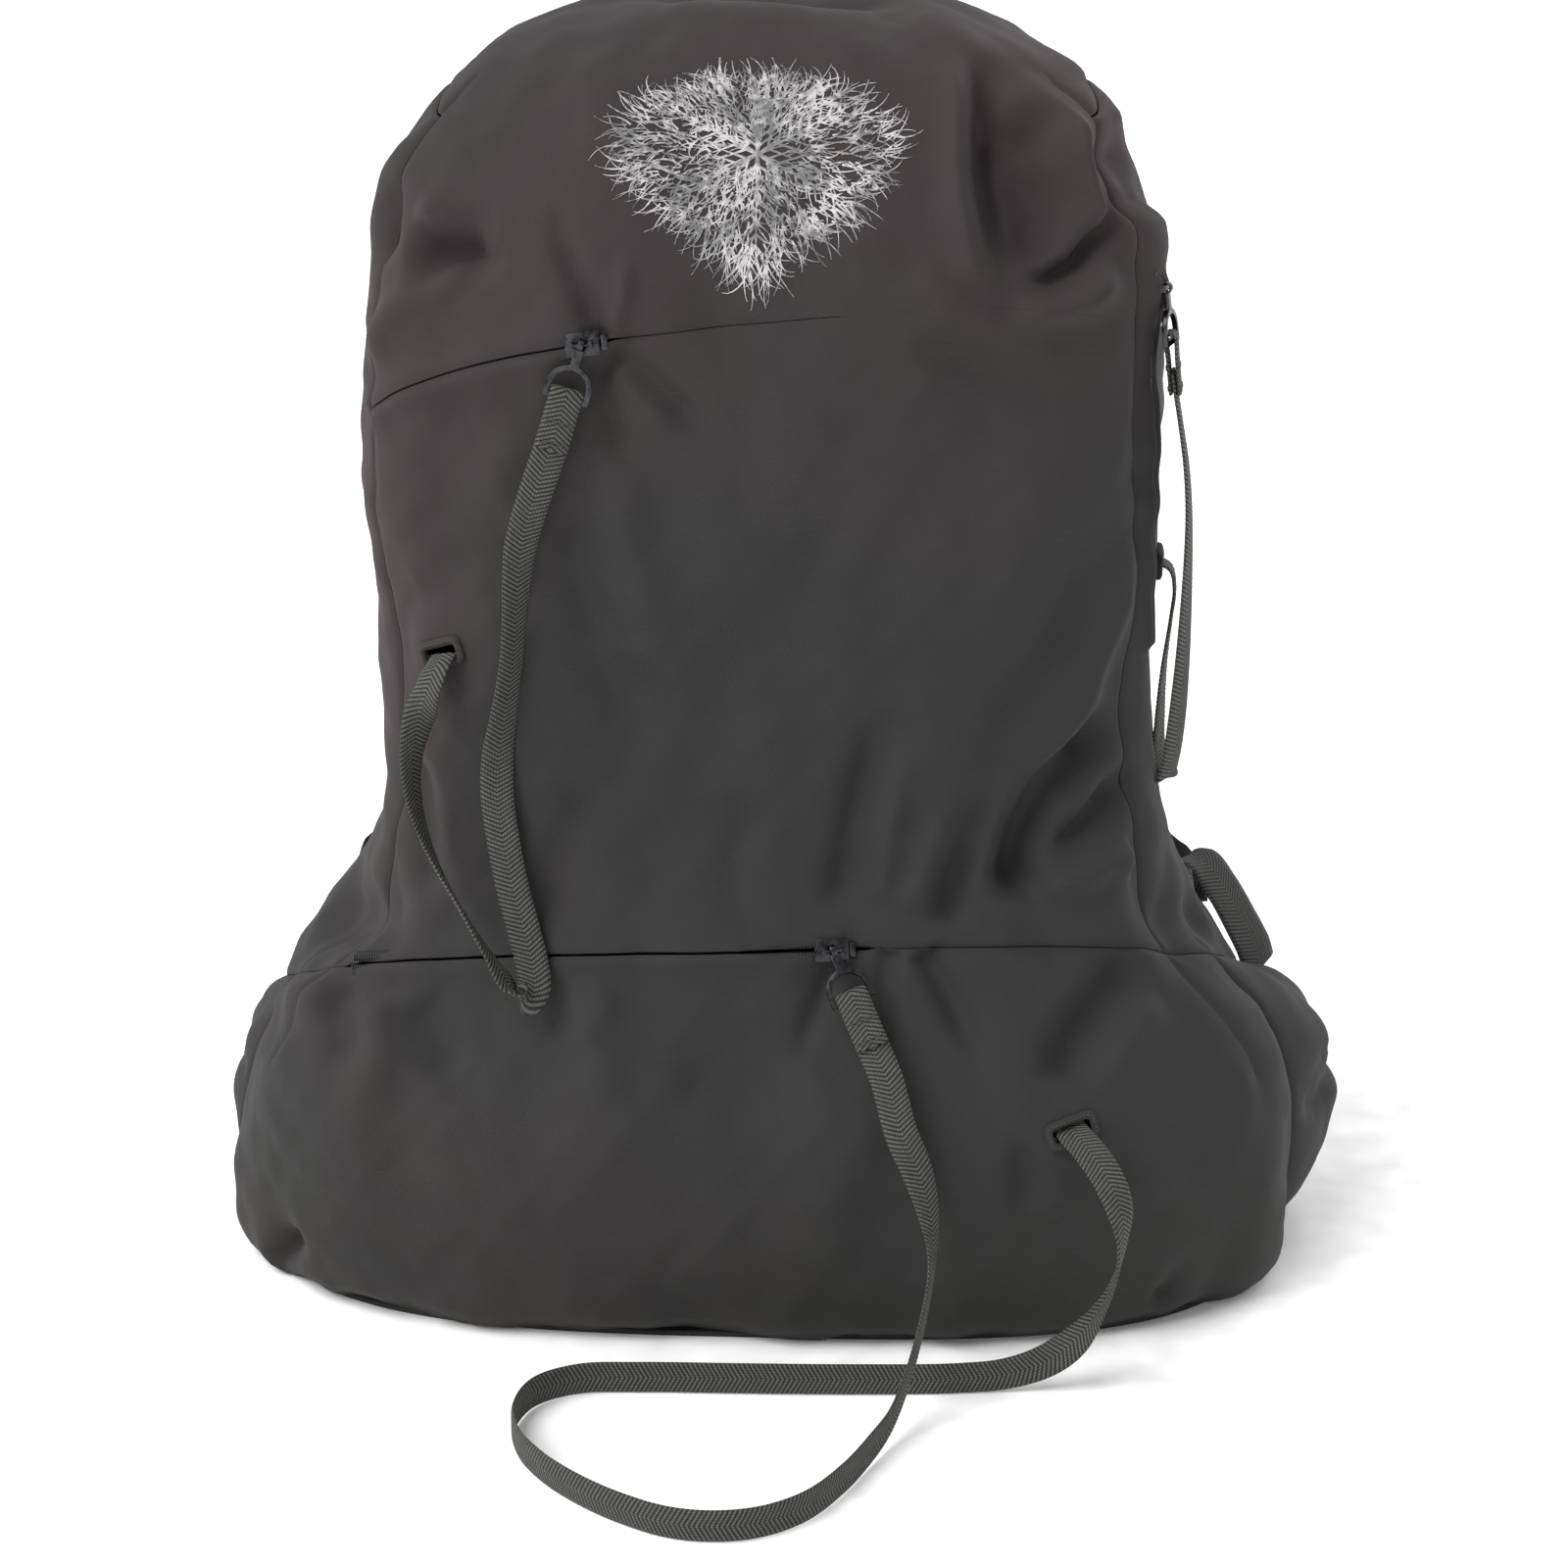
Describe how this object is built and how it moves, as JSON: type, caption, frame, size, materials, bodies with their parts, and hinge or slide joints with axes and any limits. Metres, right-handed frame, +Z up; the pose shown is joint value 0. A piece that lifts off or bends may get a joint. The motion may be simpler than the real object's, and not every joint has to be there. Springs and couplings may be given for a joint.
{
  "type": "backpack",
  "caption": "Soft dome-topped backpack with a wide lower compartment, three zips and long webbing pulls.",
  "frame": {"origin": "on the floor, under the middle of the bag and its straps", "axes": "+Z up, the front faces -Y, +X is the viewer's right"},
  "size_m": [0.4196, 0.3819, 0.48],
  "materials": {
    "cloth": "matt smooth softshell polyester, charcoal",
    "tinted_cloth": "matt smooth softshell polyester, charcoal with a brown cast",
    "base_cloth": "coarse coated polyester",
    "back_mesh": "black spacer mesh over foam",
    "strap_pad": "padded cloth strap with a mesh underside",
    "webbing": "ribbed polyester webbing",
    "zip_tape": "black zip tape and nylon coil",
    "dark_metal": "gunmetal plated zinc",
    "plastic": "black acetal",
    "board": "polyethylene board"
  },
  "bodies": {
    "bag": {"hood_panel": "tinted_cloth", "front_panel": "cloth", "lower_pocket_panel": "tinted_cloth", "right_side_panel": "cloth", "left_side_panel": "tinted_cloth", "back_panel": "back_mesh", "right_wing_panel": "cloth", "left_wing_panel": "tinted_cloth", "base_panel": "base_cloth", "base_stiffener": "board", "divider_panel": "cloth", "back_pad": "back_mesh", "back_yoke": "cloth", "back_stiffener": "board", "upper_zip_stringer_top": "zip_tape", "upper_zip_stringer_bottom": "zip_tape", "upper_zip_stop": "dark_metal", "upper_pull_webbing": "webbing", "upper_slot_patch": "cloth", "lower_zip_stringer_top": "zip_tape", "lower_zip_stringer_bottom": "zip_tape", "lower_zip_stop": "dark_metal", "lower_pull_webbing": "webbing", "lower_slot_patch": "cloth", "side_zip_stringer_top": "zip_tape", "side_zip_stringer_bottom": "zip_tape", "side_zip_stop": "dark_metal", "side_pull_webbing": "webbing", "side_slot_patch": "cloth", "left_shoulder_strap": "strap_pad", "left_strap_webbing": "webbing", "right_shoulder_strap": "strap_pad", "right_strap_webbing": "webbing"},
    "upper_slider": {"upper_zip_slider": "dark_metal"},
    "upper_puller": {"upper_zip_puller": "dark_metal", "upper_pull_tab": "webbing"},
    "lower_slider": {"lower_zip_slider": "dark_metal"},
    "lower_puller": {"lower_zip_puller": "dark_metal", "lower_pull_tab": "webbing"},
    "side_slider": {"side_zip_slider": "dark_metal"},
    "side_puller": {"side_zip_puller": "dark_metal", "side_pull_tab": "webbing"},
    "handle": {"haul_handle": "webbing"},
    "left_buckle": {"left_ladder_lock": "plastic"},
    "right_buckle": {"right_ladder_lock": "plastic"}
  },
  "joints": [
    {"name": "upper_slider_run", "type": "hinge", "parent": "bag", "child": "upper_slider", "pos_m": [-0.05542, 0.00432, 0.30863], "axis": [0.0945, -0.6009, -0.7937], "range_deg": [0, 30], "deforming": ["upper_pull_webbing"]},
    {"name": "upper_puller_swing", "type": "hinge", "parent": "upper_slider", "child": "upper_puller", "pos_m": [-0.06066, -0.07952, 0.36809], "axis": [-0.9582, 0.0248, 0.285], "range_deg": [0, 120], "deforming": ["upper_pull_webbing"]},
    {"name": "lower_slider_run", "type": "hinge", "parent": "bag", "child": "lower_slider", "pos_m": [-0.00815, 0.18671, 0.02166], "axis": [0.0364, -0.4101, -0.9113], "range_deg": [0, 26], "deforming": ["lower_pull_webbing", "upper_pull_webbing"]},
    {"name": "lower_puller_swing", "type": "hinge", "parent": "lower_slider", "child": "lower_puller", "pos_m": [0.02859, -0.09741, 0.15018], "axis": [-0.9089, -0.3166, -0.2714], "range_deg": [0, 120], "deforming": ["lower_pull_webbing"]},
    {"name": "side_slider_run", "type": "slide", "parent": "bag", "child": "side_slider", "axis": [0.0144, -0.0229, -0.9996], "range_m": [0, 0.126], "deforming": ["side_pull_webbing"]},
    {"name": "side_puller_swing", "type": "hinge", "parent": "side_slider", "child": "side_puller", "pos_m": [0.14419, -0.03099, 0.38011], "axis": [-0.2994, -0.954, 0.0118], "range_deg": [0, 110], "deforming": ["side_pull_webbing"]},
    {"name": "handle_swing", "type": "hinge", "parent": "bag", "child": "handle", "pos_m": [0, 0.081, 0.443], "axis": [1, 0, 0], "range_deg": [0, 70]},
    {"name": "left_buckle_tilt", "type": "hinge", "parent": "bag", "child": "left_buckle", "pos_m": [-0.115, 0.1095, 0.188], "axis": [1, 0, 0], "range_deg": [0, 30], "deforming": ["left_strap_webbing"]},
    {"name": "right_buckle_tilt", "type": "hinge", "parent": "bag", "child": "right_buckle", "pos_m": [0.115, 0.1095, 0.188], "axis": [1, 0, 0], "range_deg": [0, 30], "deforming": ["right_strap_webbing"]}
  ]
}
